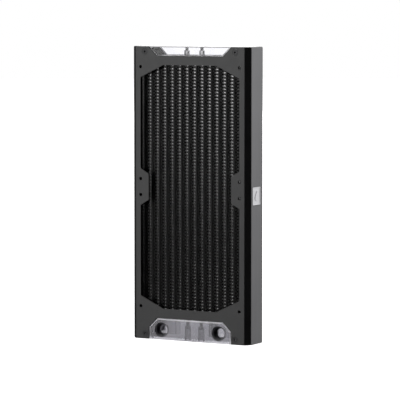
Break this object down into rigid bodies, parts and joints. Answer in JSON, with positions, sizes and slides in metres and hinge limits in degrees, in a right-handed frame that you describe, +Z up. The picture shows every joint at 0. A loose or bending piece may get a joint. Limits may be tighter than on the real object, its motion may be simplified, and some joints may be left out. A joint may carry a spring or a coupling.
{
  "type": "liquid cooling radiator",
  "caption": "Slim upright radiator with a folded-fin core behind a coated sheet frame, clear acrylic end blocks and threaded ports; it cools a liquid loop with air from a pair of fans.",
  "frame": {"origin": "bottom centre of the object, standing on its port end", "axes": "+Z up, from the port end to the return end; -Y out of the front, the side with the ports; +X to the right seen from the front"},
  "size_m": [0.1246, 0.0316, 0.275],
  "materials": {
    "cover_coat": "black satin powder coat",
    "rail_satin": "dark satin anodised",
    "badge_metal": "brushed satin",
    "port_acrylic": "polished grey clear acrylic",
    "return_acrylic": "polished clear acrylic",
    "core_coat": "thin black coating",
    "seal_rubber": "matte",
    "header_brass": "tinned sheet, dull grey",
    "screw_black": "black oxide"
  },
  "bodies": {
    "root": {"front_cover": "cover_coat", "rear_cover": "cover_coat", "side_rail_left": "rail_satin", "side_rail_right": "rail_satin", "badge": "badge_metal", "port_block": "port_acrylic", "return_block": "return_acrylic", "port_gasket": "seal_rubber", "return_gasket": "seal_rubber", "port_header": "header_brass", "return_header": "header_brass", "core_side_plate_left": "core_coat", "core_side_plate_right": "core_coat", "tube_01": "core_coat", "tube_02": "core_coat", "tube_03": "core_coat", "tube_04": "core_coat", "tube_05": "core_coat", "tube_06": "core_coat", "tube_07": "core_coat", "tube_08": "core_coat", "tube_09": "core_coat", "tube_10": "core_coat", "tube_11": "core_coat", "tube_12": "core_coat", "tube_13": "core_coat", "tube_14": "core_coat", "fin_strip_01": "core_coat", "fin_strip_02": "core_coat", "fin_strip_03": "core_coat", "fin_strip_04": "core_coat", "fin_strip_05": "core_coat", "fin_strip_06": "core_coat", "fin_strip_07": "core_coat", "fin_strip_08": "core_coat", "fin_strip_09": "core_coat", "fin_strip_10": "core_coat", "fin_strip_11": "core_coat", "fin_strip_12": "core_coat", "fin_strip_13": "core_coat", "fin_strip_14": "core_coat", "fin_strip_15": "core_coat", "cover_screw_front_1": "screw_black", "cover_screw_front_2": "screw_black", "cover_screw_front_3": "screw_black", "cover_screw_front_4": "screw_black", "cover_screw_rear_1": "screw_black", "cover_screw_rear_2": "screw_black", "cover_screw_rear_3": "screw_black", "cover_screw_rear_4": "screw_black", "port_clamp_screw_1": "screw_black", "port_clamp_screw_2": "screw_black", "port_clamp_screw_3": "screw_black", "port_clamp_screw_4": "screw_black", "return_clamp_screw_1": "screw_black", "return_clamp_screw_2": "screw_black", "return_clamp_screw_3": "screw_black", "return_clamp_screw_4": "screw_black"}
  },
  "joints": []
}
